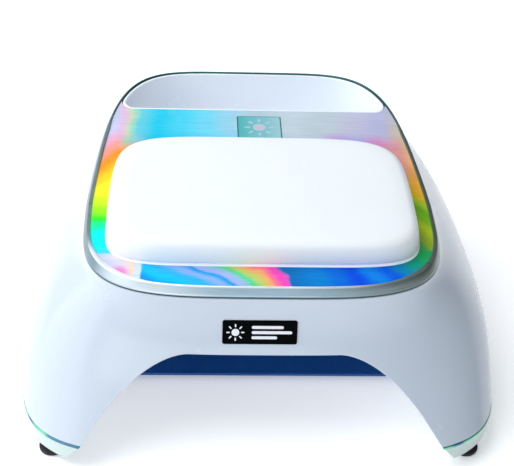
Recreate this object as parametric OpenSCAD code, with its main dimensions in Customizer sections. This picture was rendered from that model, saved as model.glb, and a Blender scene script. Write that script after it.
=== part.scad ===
// Nail curing lamp: arched housing on two legs, tilted top deck with a padded
// hand rest, recessed carry handle behind it, lamp chamber below with a
// pull-out floor tray. Millimetres, +Z up, front of the lamp towards -Y.

/* [Housing] */
// Half width of the housing low on the legs
body_half_w = 117.5; // [100:0.5:130]
// Front of the housing at floor level, measured on the centre line
body_front_y = -123; // [-135:0.5:-110]
// Rear of the housing at floor level
body_rear_y = 116; // [105:0.5:125]
// Height of the housing's lower edge
shell_base_z = 14; // [12:0.1:16]
// Wall thickness of the housing
wall = 2.8; // [2:0.1:4]

/* [Top deck] */
// Height of the deck plane on the centre line at y = 0
deck_z = 84.6; // [75:0.1:95]
// Slope of the deck, low at the front
deck_tilt = 3; // [0:0.5:8]
// Half width of the bezel ring
ring_half_w = 87.5; // [75:0.5:100]
// Front edge of the bezel ring
ring_front_y = -88; // [-95:0.5:-80]
// Rear edge of the bezel ring
ring_rear_y = 107.3; // [100:0.1:112]
// Height of the bezel ring above the deck
ring_h = 4.7; // [3:0.1:7]
// Thickness of the carrier under the printed plate
carrier_t = 2.3; // [1.5:0.1:3]
// Thickness of the printed plate
plate_t = 1.6; // [1:0.1:2.5]

/* [Handle] */
// Front edge of the handle slot
slot_front_y = 66.5; // [60:0.5:75]
// Depth of the handle well below the deck
well_depth = 38; // [25:1:42]

/* [Hand rest] */
// Half width of the hand rest
rest_half_w = 76; // [60:0.5:80]
// Front edge of the hand rest
rest_front_y = -69; // [-75:0.5:-60]
// Rear edge of the hand rest
rest_rear_y = 26; // [15:0.5:40]
// Thickness of the cushion
cushion_t = 12.4; // [8:0.1:18]

/* [Chamber] */
// Height of the arch opening
arch_h = 52; // [45:0.5:60]
// Half width of the arch at floor level
arch_half_w = 96; // [85:0.5:100]
// Half width of the flat top of the arch
arch_flat = 36; // [20:1:50]
// Rear wall of the chamber
chamber_rear_y = 62; // [50:1:64]

/* [Floor tray] */
// Half width of the tray
tray_half_w = 78.5; // [70:0.5:82]
// Front edge of the tray
tray_front_y = -54; // [-80:1:-40]
// Thickness of the tray
tray_t = 1.6; // [1:0.1:2.5]

/* [Controls] */
// Half width of the control panel
panel_half_w = 51; // [45:0.5:55]
// Radius of a timer button
button_r = 4.3; // [3:0.1:5]
// Travel of a timer button
button_travel = 0.8; // [0.4:0.1:1.2]

/* [Hidden] */
$fn = 40;
seg = 80;                       // points round each outline
tan_t = tan(deck_tilt);
foot_h = 3;                     // rubber feet below the frame
frame_top = shell_base_z - 1.6; // base frame runs from foot_h to here
panel_y = 111.6;                // outer face of the control panel
panel_t = 3.2;
panel_mid_z = 32;
panel_h = 28.8;
panel_r = 4;
board_y = 98.4;                 // front face of the control board
tray_z = 3.2;                   // underside of the floor tray
led_top_z = 57.2;               // underside of the ceiling lamp board
led_x = [-27, 0, 27];
led_y = [-60, -33, -6, 21, 46];
side_mid = [71.5, 30];          // middle of the sloping chamber side, x and z
side_slope = 46.5;              // slope of that side
rest_mid_y = -25;
button_at = [[8, 38.5], [-7, 38.5], [8, 25.5], [-7, 25.5]];
rocker_x = -44;
rocker_z = 32;
rocker_y = 109.2;               // pivot of the rocker
rocker_rest = 8;                // lean of the rocker when it is off
jack_x = -27;
window_x = 33;                  // middle of the display window
deck_post = [[-60, -52], [60, -52], [-60, 40], [60, 40]];
board_post = [[-44, -36], [44, -36], [-44, 21], [44, 21]];
leg_post_y = [-62, 58];
cover_post = [[-58.5, 71], [58.5, 71], [-58.5, 98], [58.5, 98]];
rail_screw_y = [-40, 5, 50];
panel_post = [[48.6, 20], [48.6, 44], [-33, 44]];
cell_z = [20.2, 38.9];

// ---------- outlines ----------
function outline_pt(t, a, yf, yr, yc, nf, nr, k) =
  let (front = sin(t) < 0, b = front ? yc - yf : yr - yc, n = front ? nf : nr,
       r = pow(pow(abs(cos(t)) / a, n) + pow(abs(sin(t)) / b, n), -1 / n),
       s = front ? 0 : r * sin(t) / b)
  [r * cos(t) * (1 - k * pow(s, 1.3)), yc + r * sin(t)];

// housing outline at height fraction h (0 lower edge, 1 deck), moved in by d
function body_pt(t, h, d) =
  let (g = 1 - h)
  outline_pt(t, ring_half_w + (body_half_w - ring_half_w) * pow(1 - pow(h, 3), 1.4) - d,
             ring_front_y + (body_front_y - ring_front_y) * pow(g, 1.8) + d,
             ring_rear_y + (body_rear_y - ring_rear_y) * sin(90 * g) - d,
             -22 - 18 * g, 3.9 - 0.8 * sin(180 * g) + 0.4 * g, 5.3 - 2.1 * g,
             0.13 - 0.05 * sin(90 * g));
function body_outline(h, d) = [for (i = [0:seg - 1]) body_pt(i * 360 / seg, h, d)];
function deck_at(y) = deck_z + tan_t * y;

// bezel outline moved in by i at the sides, more at the front, less at the rear
function ring_pt(t, i) =
  outline_pt(t, ring_half_w - i, ring_front_y + 1.7 * i, ring_rear_y - 0.7 * i, -22, 3.9, 5.3, 0.13);
function ring_outline(i) = [for (j = [0:seg - 1]) ring_pt(j * 360 / seg, i)];

// handle slot, moved in by d
slot_r = 7;
slot_cx = 66.2;
function slot_outline(d) = concat(
  [for (t = [-90:15:0]) [slot_cx + (slot_r - d) * cos(t), slot_front_y + slot_r + (slot_r - d) * sin(t)]],
  [for (j = [0:2:180]) let (p = ring_pt(j, 2.8 + d)) if (p[1] > slot_front_y + slot_r + 2) p],
  [for (t = [180:15:270]) [-slot_cx + (slot_r - d) * cos(t), slot_front_y + slot_r + (slot_r - d) * sin(t)]]);

function rest_pt(t, d) =
  outline_pt(t, rest_half_w - d, rest_front_y + d, rest_rear_y - d, rest_mid_y, 6, 5.2, 0.03);

// arch: half width of the opening at height z, and the opening as a section
function arch_z(x) =
  abs(x) <= arch_flat ? arch_h : arch_h * (1 - pow((abs(x) - arch_flat) / (arch_half_w - arch_flat), 1.7));
function arch_section(o) = concat(
  [for (i = [0:20]) let (x = -(arch_half_w - (arch_half_w - arch_flat) * i / 20)) [x - o, arch_z(x) + o]],
  [for (i = [0:20]) let (x = arch_flat + (arch_half_w - arch_flat) * i / 20) [x + o, arch_z(x) + o]]);

// rectangle w by h with corners of radius r, centred on [cx, cy]
function round_rect(cx, cy, w, h, r) =
  [for (q = [[1, -1, -90], [1, 1, 0], [-1, 1, 90], [-1, -1, 180]], t = [0:15:90])
   [cx + q[0] * (w / 2 - r) + r * cos(q[2] + t), cy + q[1] * (h / 2 - r) + r * sin(q[2] + t)]];
// upright plate with rounded corners in x and z, from y0 to y1
module upright(cx, cz, w, h, r, y0, y1) {
  translate([0, y1, 0]) rotate([90, 0, 0]) linear_extrude(y1 - y0) polygon(round_rect(cx, cz, w, h, r));
}

// ---------- solids from stacked outlines ----------
module stack(rings) {
  n = len(rings[0]);
  m = len(rings);
  sides = [for (k = [0:m - 2], i = [0:n - 1]) each
           let (j = (i + 1) % n) [[k * n + i, (k + 1) * n + i, (k + 1) * n + j], [k * n + i, (k + 1) * n + j, k * n + j]]];
  polyhedron([for (r = rings) each r],
             concat(sides, [[for (i = [0:n - 1]) i]], [[for (i = [0:n - 1]) m * n - 1 - i]]));
}
module loop_stack(rings) {
  n = len(rings[0]);
  m = len(rings);
  polyhedron([for (r = rings) each r],
             [for (k = [0:m - 1], i = [0:n - 1]) each
              let (j = (i + 1) % n, a = k * n, b = ((k + 1) % m) * n)
              [[a + i, b + i, b + j], [a + i, b + j, a + j]]]);
}
function lift(pts, z) = [for (p = pts) [p[0], p[1], z]];
function body_ring(h, d, drop) =
  [for (p = body_outline(h, d)) [p[0], p[1], shell_base_z + (deck_at(p[1]) - drop - shell_base_z) * h]];
heights = [0, 0.12, 0.25, 0.38, 0.5, 0.61, 0.71, 0.8, 0.88, 0.94, 1];
module body_volume(d, drop, low) {
  stack(concat(low > 0 ? [lift(body_outline(0, d), shell_base_z - low)] : [],
               [for (h = heights) body_ring(h, d, drop)]));
}
module arch_tunnel(o, y0, y1) {
  translate([0, y1, 0]) rotate([90, 0, 0]) linear_extrude(y1 - y0)
    polygon(concat(arch_section(o), [[arch_half_w + o, -20], [-arch_half_w - o, -20]]));
}
module on_deck() { translate([0, 0, deck_z]) rotate([deck_tilt, 0, 0]) children(); }
function post_x(y) =
  let (p = [for (t = [-60:1:80]) let (q = body_pt(t, 0, wall + 2.4)) if (q[1] > y) q[0]]) p[0];

// screw: round head under the joint, shank upwards
module screw(head_r, head_h, shank_r, len) {
  difference() {
    translate([0, 0, -head_h]) cylinder(r = head_r, h = head_h);
    translate([0, 0, -head_h - 0.1]) cylinder(r = head_r * 0.45, h = head_h * 0.6, $fn = 6);
  }
  translate([0, 0, -0.2]) cylinder(r = shank_r, h = len + 0.2);
}

// ---------- housing ----------
module housing_shell() color([0.93, 0.95, 0.98]) resize([0, 0, 0]) difference() {
  union() {
    difference() {
      body_volume(0, 0, 0);
      body_volume(wall, wall, 2);
    }
    intersection() {
      body_volume(0.5, 0.5, 0);
      union() {
        for (p = deck_post) translate([p[0], p[1], 61]) cylinder(r = 3.6, h = 40, $fn = 16);
        for (p = board_post) translate([p[0], p[1], 74]) cylinder(r = 3, h = 30, $fn = 16);
        for (y = leg_post_y, s = [-1, 1])
          translate([s * post_x(y), y, shell_base_z]) cylinder(r = 4.4, h = 22, $fn = 16);
      }
    }
  }
  arch_tunnel(0, -150, -60);
  on_deck() translate([0, 0, -well_depth - 3]) linear_extrude(60) polygon(slot_outline(0));
  upright(0, panel_mid_z, 2 * panel_half_w + 0.6, panel_h + 0.6, panel_r + 0.3, 95, 135);
  for (p = deck_post) translate([p[0], p[1], 60]) cylinder(r = 1.3, h = 14, $fn = 16);
  for (p = board_post) translate([p[0], p[1], 73]) cylinder(r = 1.1, h = 5.4, $fn = 16);
  for (y = leg_post_y, s = [-1, 1])
    translate([s * post_x(y), y, shell_base_z - 1]) cylinder(r = 1.6, h = 18, $fn = 16);
  badge_place(0.7) badge_body(0.15, 3);
}

// the badge lies in a shallow pocket of the sloping front
module badge_place(depth) {
  translate([-2.5, -91.3, 63]) rotate([-16.5, 0, 0]) translate([0, depth, 0]) rotate([90, 0, 0]) children();
}
module badge_body(g, h) {
  linear_extrude(h) polygon(round_rect(0, 0, 35 + 2 * g, 11.8 + 2 * g, 1 + g));
}
module front_badge() color([0.03, 0.03, 0.035]) badge_place(0.7) badge_body(0, 1);

// ---------- base ----------
module u_outline(d) { polygon(body_outline(0, d)); }
module u_lip() {
  difference() {
    union() {
      translate([0, 0, frame_top - 2.4]) linear_extrude(2.4) u_outline(wall - 0.1);
      translate([0, 0, frame_top - 0.1]) linear_extrude(3.8) u_outline(wall + 0.4);
    }
    translate([0, 0, frame_top - 3]) linear_extrude(8) u_outline(wall + 1.9);
    for (y = leg_post_y, s = [-1, 1]) translate([s * post_x(y), y, 8]) cylinder(r = 5, h = 10);
    translate([-panel_half_w - 3, 90, 8]) cube([2 * panel_half_w + 6, 40, 12]);
    translate([-150, -150, 8]) cube([300, 75, 12]);
  }
}
module base_frame() color([0.86, 0.9, 0.89]) difference() {
  union() {
    difference() {
      union() {
        translate([0, 0, foot_h + 0.8]) linear_extrude(frame_top - foot_h - 0.8) u_outline(0.4);
        translate([0, 0, foot_h]) linear_extrude(2) u_outline(1.1);
      }
      difference() {
        translate([0, 0, foot_h + 2]) linear_extrude(12) u_outline(wall + 0.2);
        intersection() {
          arch_tunnel(2, -150, chamber_rear_y + 2);
          translate([-150, -150, 0]) cube([300, 300, 8]);
        }
        for (p = cover_post) translate([p[0], p[1], 0]) cylinder(r = 3.2, h = 8.5);
      }
    }
    u_lip();
  }
  difference() {
    arch_tunnel(0, -150, chamber_rear_y);
    for (s = [-1, 1]) translate([s * (tray_half_w + 12) - 6, tray_front_y + 4, 6.15])
      cube([12, chamber_rear_y - tray_front_y + 4, 1.9]);
  }
  linear_extrude(foot_h + 1.3) polygon(round_rect(0, 84.5, 124.6, 33.6, 3.3));
  linear_extrude(10) polygon(round_rect(0, 84.5, 110, 20, 3));
  for (y = rail_screw_y, s = [-1, 1]) translate([s * (tray_half_w + 8), y, 5]) cylinder(r = 1.3, h = 6);
  for (p = cover_post) translate([p[0], p[1], 0]) cylinder(r = 1.4, h = 8);
  for (y = leg_post_y, s = [-1, 1]) translate([s * post_x(y), y, 0]) cylinder(r = 1.8, h = 8);
}
module accent_strip() color([0.1, 0.5, 0.5]) difference() {
  translate([0, 0, frame_top + 0.05]) linear_extrude(1.5) u_outline(-0.1);
  translate([0, 0, frame_top - 1]) linear_extrude(4) u_outline(wall + 0.1);
  arch_tunnel(0, -150, -60);
}
module rubber_feet() color([0.04, 0.04, 0.045])
  for (p = [[100.5, -103], [104.5, -20], [84, 78]], s = [-1, 1])
    translate([s * p[0], p[1], 0]) {
      cylinder(r = 6.4, h = foot_h - 0.6);
      cylinder(r = 5.4, h = foot_h);
    }
module rear_cover() color([0.9, 0.92, 0.93]) difference() {
  translate([0, 0, foot_h]) linear_extrude(1.25) polygon(round_rect(0, 84.5, 124, 33, 3));
  for (p = cover_post) translate([p[0], p[1], 0]) cylinder(r = 1.6, h = 10);
  for (i = [-5:5]) translate([0, 0, foot_h - 1]) linear_extrude(4) polygon(round_rect(i * 8, 84.5, 2.4, 17, 1.19));
}
module frame_screws() color([0.7, 0.7, 0.72])
  for (y = leg_post_y, s = [-1, 1]) translate([s * post_x(y), y, foot_h]) screw(2.9, 1.6, 1.5, 20);
module cover_screws() color([0.7, 0.7, 0.72])
  for (p = cover_post) translate([p[0], p[1], foot_h]) screw(2.8, 1.4, 1.25, 3.8);

// ---------- top deck ----------
module bezel_ring() color([0.72, 0.78, 0.82]) on_deck() loop_stack([
  for (s = [[0, 0.05], [0.15, 1.3], [1.2, 3.5], [2.1, ring_h], [2.6, ring_h - 0.1], [2.6, 0.05]])
    lift(ring_outline(s[0]), s[1])]);
module deck_slab(i, w0, w1) {
  translate([0, 0, w0]) linear_extrude(w1 - w0) difference() {
    polygon(ring_outline(i));
    polygon(slot_outline(0));
    translate([-100, slot_front_y + slot_r]) square([200, 60]);
  }
}
module deck_carrier() color([0.9, 0.92, 0.94]) on_deck() deck_slab(2.75, 0.05, carrier_t);
module emblem_shape(g) { polygon(round_rect(2, 49.75, 24 + 2 * g, 21.5 + 2 * g, 2 + g)); }
module top_plate() color([0.75, 0.7, 0.9]) on_deck() difference() {
  deck_slab(2.75, carrier_t, carrier_t + plate_t);
  translate([0, 0, carrier_t + plate_t - 0.7]) linear_extrude(2) emblem_shape(0.1);
}
module plate_emblem() color([0.1, 0.6, 0.6]) on_deck()
  translate([0, 0, carrier_t + plate_t - 0.7]) linear_extrude(0.6) emblem_shape(0);
rest_w = carrier_t + plate_t + 0.02;
module hand_rest_base() color([0.95, 0.96, 0.97]) on_deck() difference() {
  translate([0, 0, rest_w]) linear_extrude(1.6) polygon([for (i = [0:seg - 1]) rest_pt(i * 360 / seg, -0.6)]);
  translate([0, 0, rest_w + 1]) linear_extrude(2) polygon([for (i = [0:seg - 1]) rest_pt(i * 360 / seg, 1.2)]);
}
module hand_rest_pad() color([0.96, 0.97, 0.98]) on_deck() translate([0, 0, rest_w]) stack(concat(
  [lift([for (i = [0:seg - 1]) rest_pt(i * 360 / seg, 1.4)], 1.05)],
  [for (s = [[1.4, 1.75], [0.3, 2.3], [-0.3, 4.5], [0, 7.6], [1.0, 9.8], [2.8, 11.4], [5.6, 12.3], [9.5, 12.8], [24, 13.2]])
     lift([for (i = [0:seg - 1]) rest_pt(i * 360 / seg, s[0])], s[1] * cushion_t / 12.4)]));
module handle_well() color([0.93, 0.95, 0.97]) on_deck() difference() {
  translate([0, 0, -well_depth]) linear_extrude(well_depth + 4.3) polygon(slot_outline(0.3));
  translate([0, 0, -well_depth + 2]) linear_extrude(well_depth + 10) polygon(slot_outline(2));
}

// ---------- chamber ----------
module side_frame(s) {
  translate([s * side_mid[0], 0, side_mid[1]]) rotate([0, s * side_slope, 0]) children();
}
module lens_holes(r) {
  for (x = led_x, y = led_y) translate([x, y, arch_h - 4]) cylinder(r = r, h = 10, $fn = 14);
  for (s = [-1, 1], y = led_y) side_frame(s) translate([0, y, -4]) cylinder(r = r, h = 10, $fn = 14);
}
module chamber_reflector() color([0.95, 0.96, 0.97]) resize([0, 0, 0]) difference() {
  intersection() {
    difference() {
      arch_tunnel(2.4, -150, chamber_rear_y);
      arch_tunnel(0.4, -160, chamber_rear_y - 2);
    }
    translate([-150, -150, 8.3]) cube([300, 300, 60]);
    union() {
      body_volume(wall + 0.35, wall, 8);
    }
  }
  lens_holes(3.3);
  translate([0, -78, arch_h - 3]) cylinder(r = 3.3, h = 10, $fn = 14);
}
module ceiling_led_board() color([0.9, 0.92, 0.9])
  translate([-49, -84, led_top_z]) cube([98, 138, 1.6]);
module led(r) {
  translate([0, 0, -2.4]) cylinder(r = r, h = 2.4);
  intersection() {
    translate([0, 0, -2.3]) scale([1, 1, 1.0]) sphere(r = r * 0.93);
    translate([-5, -5, -8]) cube([10, 10, 7]);
  }
}
module ceiling_leds() color([0.8, 0.8, 0.95])
  for (x = led_x, y = led_y) translate([x, y, led_top_z]) led(2.9);
module hand_sensor() color([0.05, 0.05, 0.06]) translate([0, -78, led_top_z]) led(2.8);
module side_led_board(s) {
  side_frame(s) translate([-12, -76, 5.6]) cube([24, 128, 1.6]);
}
module side_led_board_left() color([0.9, 0.92, 0.9]) side_led_board(-1);
module side_led_board_right() color([0.9, 0.92, 0.9]) side_led_board(1);
module side_leds(s) { for (y = led_y) side_frame(s) translate([0, y, 5.6]) led(2.9); }
module side_leds_left() color([0.8, 0.8, 0.95]) side_leds(-1);
module side_leds_right() color([0.8, 0.8, 0.95]) side_leds(1);
module heat_spreader() color([0.75, 0.76, 0.78]) difference() {
  union() {
    translate([-65, -62, led_top_z + 1.6]) cube([130, 112, 2]);
    for (x = [-50:12.5:50]) translate([x - 0.8, -60, led_top_z + 3.6]) cube([1.6, 108, 3.2]);
  }
  for (p = deck_post) translate([p[0], p[1], 50]) cylinder(r = 1.6, h = 20);
  translate([50.8, -12, 40]) cube([10.4, 14.4, 40]);
}
module spreader_screws() color([0.7, 0.7, 0.72])
  for (p = deck_post) translate([p[0], p[1], led_top_z + 1.6]) screw(2.6, 1.6, 1.2, 12);
module thermal_cutout() color([0.15, 0.15, 0.16])
  translate([51, -11.8, led_top_z + 1.8]) cube([10, 14, 3.6]);

// ---------- electronics ----------
module main_board() color([0.05, 0.35, 0.2]) difference() {
  translate([-49, -42, 72.3]) cube([98, 69, 1.6]);
  for (p = board_post) translate([p[0], p[1], 70]) cylinder(r = 1.3, h = 10);
}
module board_components() color([0.2, 0.2, 0.22]) {
  for (i = [0:3]) translate([-32 + 16 * i, -28, 66.3]) cylinder(r = 4, h = 6);
  translate([-34, -14, 67.3]) cube([18, 18, 5]);
  translate([-8, -14, 69.3]) cube([14, 14, 3]);
  for (i = [0:4]) translate([-36 + 11 * i, 12, 67.8]) cube([7, 6, 4.5]);
}
module buzzer() color([0.06, 0.06, 0.07]) difference() {
  translate([24, -6, 65.3]) cylinder(r = 6, h = 7);
  translate([24, -6, 65]) cylinder(r = 1, h = 2);
}
module board_screws() color([0.7, 0.7, 0.72])
  for (p = board_post) translate([p[0], p[1], 72.3]) screw(2.2, 1.4, 1.0, 6);
module battery_pack() color([0.15, 0.35, 0.6])
  for (s = [-1, 1], z = cell_z) translate([s * 33.4, 75.6, z]) rotate([0, 90, 0]) {
    cylinder(r = 9.2, h = 65, center = true);
    translate([0, 0, s * 32.4]) cylinder(r = 3, h = 1.4, center = true);
  }
module battery_cradle() color([0.2, 0.2, 0.22]) difference() {
  translate([-68.5, 65.4, 8.6]) cube([137, 20.4, 19]);
  for (s = [-1, 1]) translate([s * 33.4, 75.6, cell_z[0]]) rotate([0, 90, 0]) cylinder(r = 9.3, h = 67, center = true);
  translate([-66.9, 66.3, cell_z[0]]) cube([133.8, 18.6, 20]);
  translate([-62, 70, 0]) cube([124, 11, 9.6]);
}
module wire(pts, r) {
  for (i = [0:len(pts) - 2]) hull() {
    translate(pts[i]) sphere(r = r, $fn = 8);
    translate(pts[i + 1]) sphere(r = r, $fn = 8);
  }
}
module wiring_loom() color([0.7, 0.1, 0.1])
  for (i = [0:2]) translate([0, 0, i * 2.4])
    wire([[50.3, 16, 69], [62, 24, 66], [72, 40, 62], [78.5, 60, 58], [79.2, 72, 50], [76, 84, 40],
          [66, 90, 33], [53.3, 96, 29]], 0.9);

// ---------- rear controls ----------
module y_hole(x, z, r, y0, y1) { translate([x, y1, z]) rotate([90, 0, 0]) cylinder(r = r, h = y1 - y0); }
module control_panel() color([0.88, 0.9, 0.92]) difference() {
  union() {
    upright(0, panel_mid_z, 2 * panel_half_w, panel_h, panel_r, panel_y - panel_t, panel_y);
    difference() {
      union() {
        upright(0, panel_mid_z, 2 * panel_half_w + 4.8, panel_h + 4, panel_r + 2, 105, 107);
        upright(0, panel_mid_z, 2 * panel_half_w, panel_h, panel_r, 105, 109);
      }
      translate([-panel_half_w + 4.2, 100, 19.6]) cube([2 * panel_half_w - 8.4, 20, 25]);
    }
    for (p = panel_post) y_hole(p[0], p[1], 2.2, 100, 108.5);
  }
  for (b = button_at) y_hole(b[0], b[1], button_r + 0.3, 90, 120);
  translate([rocker_x - 5.5, 90, rocker_z - 8]) cube([11, 40, 16]);
  y_hole(jack_x, 25, 4.2, 90, 120);
  y_hole(jack_x, 38, 1.7, 90, 120);
  upright(window_x, panel_mid_z, 25, 12, 1.5, 90, 130);
  upright(window_x, panel_mid_z, 28.8, 15.8, 2.7, panel_y - 1.3, 120);
  for (p = panel_post) y_hole(p[0], p[1], 0.9, 99, 108);
}
module display_window() color([0.02, 0.02, 0.03]) 
  upright(window_x, panel_mid_z, 28.4, 15.4, 2.5, panel_y - 1.3, panel_y);
module display_module() color([0.08, 0.08, 0.09]) translate([21.6, board_y + 1.6, 26.6]) cube([22.8, 7.4, 10.8]);
module control_board() color([0.05, 0.35, 0.2]) difference() {
  translate([-36, board_y, 18.4]) cube([87, 1.6, 27.2]);
  for (p = panel_post) y_hole(p[0], p[1], 1.2, 90, 110);
}
module tact_switches() color([0.1, 0.1, 0.11]) for (b = button_at) {
  translate([b[0] - 3, board_y + 1.6, b[1] - 3]) cube([6, 3.4, 6]);
  y_hole(b[0], b[1], 1.7, board_y + 4.9, board_y + 5.8);
}
module button(i) {
  x = button_at[i][0];
  z = button_at[i][1];
  y_hole(x, z, button_r, 105.2, panel_y + 0.9);
  y_hole(x, z, button_r - 0.5, panel_y + 0.8, panel_y + 1.4);
  y_hole(x, z, 5.3, 106.2, 108.2);
}
module timer_button_1() color([0.75, 0.78, 0.8]) button(0);
module timer_button_2() color([0.75, 0.78, 0.8]) button(1);
module timer_button_3() color([0.75, 0.78, 0.8]) button(2);
module timer_button_4() color([0.75, 0.78, 0.8]) button(3);
module rocker_housing() color([0.05, 0.05, 0.055]) difference() {
  union() {
    translate([rocker_x - 5.2, 98, rocker_z - 7.7]) cube([10.4, panel_y - 98 + 0.5, 15.4]);
    upright(rocker_x, rocker_z, 12.8, 17.8, 1.5, panel_y, panel_y + 1.2);
    for (s = [-1, 1]) translate([rocker_x + s * 2.5 - 0.4, 93, rocker_z - 3]) cube([0.8, 5.5, 4]);
  }
  translate([rocker_x - 4.1, 101, rocker_z - 6.9]) cube([8.2, 30, 13.8]);
  translate([rocker_x - 5, rocker_y, rocker_z]) rotate([0, 90, 0]) cylinder(r = 1.05, h = 10);
}
module power_rocker() color([0.6, 0.05, 0.05])
  translate([rocker_x, rocker_y, rocker_z]) rotate([rocker_rest, 0, 0]) {
    rotate([90, 0, 90]) linear_extrude(7.6, center = true)
      polygon([[-3, -2.6], [-1, -4.6], [2.2, -6.2], [4.1, -6.1], [3.1, 0], [4.1, 6.1], [2.2, 6.2], [-1, 4.6], [-3, 2.6]]);
    rotate([0, 90, 0]) cylinder(r = 1, h = 9.4, center = true);
  }
module dc_jack() color([0.07, 0.07, 0.08]) {
  difference() {
    union() {
      translate([jack_x - 4.5, board_y + 1.6, 20.5]) cube([9, 7.6, 9]);
      y_hole(jack_x, 25, 4.0, 107, panel_y - 0.2);
    }
    y_hole(jack_x, 25, 3, 102, 120);
  }
  y_hole(jack_x, 25, 1.0, 101.5, panel_y - 1.5);
}
module charge_light() color([0.2, 0.9, 0.4]) y_hole(jack_x, 38, 1.5, board_y + 1.6, panel_y + 0.3);
module panel_screws() color([0.7, 0.7, 0.72]) for (p = panel_post) {
  y_hole(p[0], p[1], 2, board_y - 1.4, board_y);
  y_hole(p[0], p[1], 0.8, board_y - 0.1, 106);
}

// ---------- floor tray ----------
tray_rear_y = chamber_rear_y - 3.5;
module floor_tray() color([0.02, 0.12, 0.3]) translate([0, 0, tray_z]) linear_extrude(tray_t)
  polygon(round_rect(0, (tray_front_y + tray_rear_y) / 2, 2 * tray_half_w, tray_rear_y - tray_front_y, 2));
module tray_rail(s) {
  y0 = tray_front_y + 4;
  y1 = chamber_rear_y - 2;
  scale([s, 1, 1]) difference() {
    union() {
      translate([tray_half_w - 3.5, y0, tray_z - 1.5]) cube([7, y1 - y0, 5.9]);
      translate([tray_half_w + 1, y0, 4.1]) cube([11, y1 - y0, 2]);
    }
    translate([tray_half_w - 5, y0 - 1, tray_z - 0.3]) cube([5.4, y1 - y0 - 0.3, tray_t + 0.6]);
    for (y = rail_screw_y) translate([tray_half_w + 8, y, 0]) cylinder(r = 1.5, h = 10);
  }
}
module tray_rail_left() color([0.9, 0.92, 0.93]) tray_rail(-1);
module tray_rail_right() color([0.9, 0.92, 0.93]) tray_rail(1);
module rail_screws() color([0.7, 0.7, 0.72])
  for (y = rail_screw_y, s = [-1, 1]) translate([s * (tray_half_w + 8), y, 4.1]) screw(2.4, 1.2, 1.2, 3.8);

housing_shell();
base_frame();
accent_strip();
rubber_feet();
bezel_ring();
deck_carrier();
top_plate();
plate_emblem();
hand_rest_base();
hand_rest_pad();
handle_well();
front_badge();
chamber_reflector();
ceiling_led_board();
side_led_board_left();
side_led_board_right();
ceiling_leds();
side_leds_left();
side_leds_right();
hand_sensor();
heat_spreader();
thermal_cutout();
main_board();
board_components();
buzzer();
battery_pack();
battery_cradle();
wiring_loom();
control_panel();
display_window();
display_module();
control_board();
tact_switches();
timer_button_1();
timer_button_2();
timer_button_3();
timer_button_4();
power_rocker();
rocker_housing();
dc_jack();
charge_light();
rear_cover();
floor_tray();
tray_rail_left();
tray_rail_right();
frame_screws();
cover_screws();
rail_screws();
spreader_screws();
board_screws();
panel_screws();
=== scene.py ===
"""Looks of a nail curing lamp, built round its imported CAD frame.

Lengths in the building functions are millimetres; new_object() turns them into metres.
+Z is up and the front of the lamp is towards -Y.
"""
import math

import bmesh
import bpy
import numpy as np
from mathutils import Matrix, Quaternion, Vector
from mathutils.bvhtree import BVHTree


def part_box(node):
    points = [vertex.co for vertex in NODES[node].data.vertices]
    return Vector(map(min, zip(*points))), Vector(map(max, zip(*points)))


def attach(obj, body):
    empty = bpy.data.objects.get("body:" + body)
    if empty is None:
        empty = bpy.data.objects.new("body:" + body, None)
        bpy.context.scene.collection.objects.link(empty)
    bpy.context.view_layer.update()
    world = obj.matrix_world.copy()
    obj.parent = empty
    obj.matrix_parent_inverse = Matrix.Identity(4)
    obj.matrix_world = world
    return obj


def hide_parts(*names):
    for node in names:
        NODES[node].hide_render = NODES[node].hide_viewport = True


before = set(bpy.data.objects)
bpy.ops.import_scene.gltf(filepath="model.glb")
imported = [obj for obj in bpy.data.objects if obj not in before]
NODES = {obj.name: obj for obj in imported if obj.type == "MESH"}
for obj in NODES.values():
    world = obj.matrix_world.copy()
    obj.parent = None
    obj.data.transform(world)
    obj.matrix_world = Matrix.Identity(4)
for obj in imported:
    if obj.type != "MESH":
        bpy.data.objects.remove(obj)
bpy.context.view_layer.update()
MM = 0.001


def box_mm(node):
    lo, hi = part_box(node)
    return lo / MM, hi / MM


# -------------------- driving dimensions, from the frame
SHELL_LO, SHELL_HI = box_mm("housing_shell")
RING_LO, RING_HI = box_mm("bezel_ring")
TILT = math.radians(3)                       # slope of the deck, low at the front
BODY_W = SHELL_HI.x                          # half width of the housing
BODY_FRONT = -123                            # front at floor level on the centre line, where the arch is
BODY_REAR = SHELL_HI.y
SHELL_Z = SHELL_LO.z                         # lower edge of the housing
WALL = 2.8
RING_W = RING_HI.x                           # bezel ring
RING_FRONT = -88
RING_REAR = 107.3
DECK_Z = 84.6                                # height of the deck plane over the origin
PLATE_W = 3.9                                # printed face above the deck plane
PLATE_IN = 2.75                              # plate edge inside the ring's outer edge
SLOT_Y, SLOT_R, SLOT_X = 66.5, 7, 66.2       # handle slot: front edge, corner radius, corner centre
WELL_DEPTH = 38
FOOT_H = 3                                   # rubber feet below the base
REST_W, REST_FRONT, REST_REAR, REST_MID = 76, -69, 26, -25
ARCH_H, ARCH_W, ARCH_FLAT = 52, 96, 36       # arch opening
ARCH_POWER = 1.7
CHAMBER_REAR = 62
FRONT_PART, FAR_FRONT = -60, -150            # rear end of the arch's front wall, and a place in front of it
PANEL_MID_Z, PANEL_W, PANEL_H, PANEL_R = 32, 102, 28.8, 4
EMBLEM_X, EMBLEM_Y, EMBLEM_W, EMBLEM_D = 2, 49.75, 24, 21.5
REST_Z = PLATE_W + 0.02                      # underside of the hand rest
COVER_Y = 84.5                               # middle of the rear cover
LENS_R = 3.3                                 # holes for the lenses
COLUMNS = 480                                # points round each outline

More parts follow.
